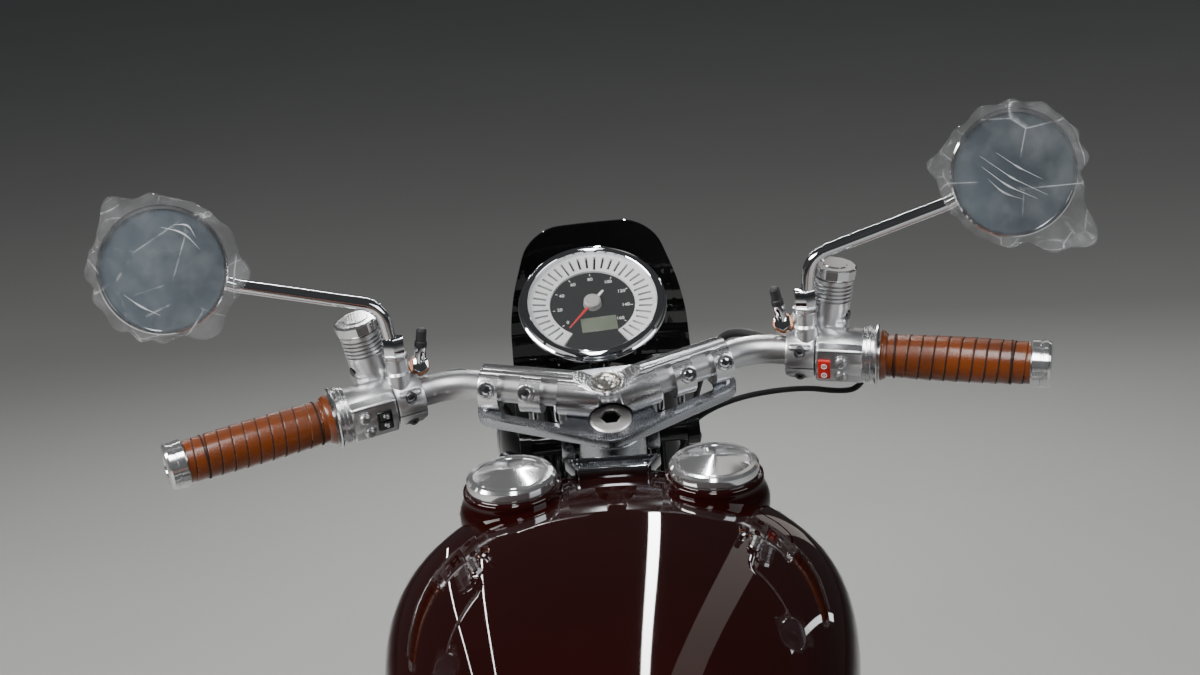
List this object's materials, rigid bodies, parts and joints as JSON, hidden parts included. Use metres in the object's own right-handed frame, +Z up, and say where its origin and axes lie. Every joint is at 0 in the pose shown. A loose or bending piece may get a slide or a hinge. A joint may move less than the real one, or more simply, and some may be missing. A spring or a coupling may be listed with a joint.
{
  "type": "cafe racer motorcycle",
  "caption": "Cafe racer motorcycle on its centre stand, with a girder fork, V-twin engine, wire wheels and turning steering and wheels.",
  "frame": {"origin": "on the floor under the middle of the whole machine's box", "axes": "+X forward, +Y to the rider's left, +Z up"},
  "size_m": [2.1043, 0.714, 1.21],
  "materials": {
    "tyre": "matt",
    "polished_aluminium": "polished",
    "polished_steel": "polished",
    "wheel_alloy": "satin",
    "leather": "satin",
    "tank_paint": "gloss",
    "frame_paint": "satin",
    "engine_metal": "cast",
    "disc_steel": "brushed",
    "black_gloss": "gloss",
    "black_plastic": "matt",
    "mirror_glass": "mirror",
    "lamp_glass": "clear",
    "tail_red": "gloss"
  },
  "bodies": {
    "root": {"air_filter": "polished_aluminium", "battery_box": "black_plastic", "chain": "disc_steel", "clutch_cover": "polished_aluminium", "crankcase": "engine_metal", "cylinder_heads": "engine_metal", "cylinders": "engine_metal", "exhaust_pipes": "polished_steel", "filler_caps": "polished_aluminium", "frame": "frame_paint", "fuel_tank": "tank_paint", "generator_cover": "polished_aluminium", "paddock_bobbins": "polished_aluminium", "rear_axle": "polished_steel", "rear_caliper": "polished_aluminium", "rear_shocks": "frame_paint", "rearsets": "polished_aluminium", "seat": "leather", "seat_pan": "black_plastic", "silencers": "polished_steel", "swingarm": "polished_aluminium", "tail_cowl": "tank_paint", "tail_lamp": "tail_red", "tank_plate": "polished_aluminium"},
    "steering": {"bar_ends": "polished_aluminium", "brake_perches": "polished_aluminium", "flyscreen": "black_gloss", "fork_links": "frame_paint", "fork_spring": "frame_paint", "front_axle": "polished_steel", "front_calipers": "polished_aluminium", "front_mudguard": "polished_aluminium", "gauge": "black_gloss", "girder_fork": "frame_paint", "grips": "leather", "handlebars": "polished_steel", "headlamp_lens": "lamp_glass", "headlamp_shell": "polished_aluminium", "lamp_brackets": "frame_paint", "levers": "polished_aluminium", "mirror_glasses": "mirror_glass", "mirror_shells": "polished_steel", "mirror_stems": "polished_steel", "reservoirs": "polished_aluminium", "steering_stem": "frame_paint", "stem_bolt": "polished_aluminium", "switch_housings": "polished_aluminium", "yoke": "polished_aluminium", "yoke_cap": "polished_aluminium"},
    "front_wheel": {"front_discs": "disc_steel", "front_tyre": "tyre", "front_wire_wheel": "wheel_alloy"},
    "rear_wheel": {"rear_disc": "disc_steel", "rear_sprocket": "disc_steel", "rear_tyre": "tyre", "rear_wire_wheel": "wheel_alloy"},
    "stand": {"centre_stand": "frame_paint"}
  },
  "joints": [
    {"name": "steering", "type": "hinge", "parent": "root", "child": "steering", "pos_m": [0.38279, -0.00403, 1], "axis": [-0.4067, 0, 0.9135], "range_deg": [-32.5, 23.5]},
    {"name": "front_wheel_spin", "type": "hinge", "parent": "steering", "child": "front_wheel", "pos_m": [0.73267, -0.00071, 0.31795], "axis": [-0.0717, 0.9969, -0.0319], "continuous": true},
    {"name": "rear_wheel_spin", "type": "hinge", "parent": "root", "child": "rear_wheel", "pos_m": [-0.72721, -0.00403, 0.343], "axis": [0, 1, 0], "continuous": true},
    {"name": "centre_stand_fold", "type": "hinge", "parent": "root", "child": "stand", "pos_m": [-0.24221, -0.00403, 0.238], "axis": [0, 1, 0], "range_deg": [0, 80]}
  ]
}
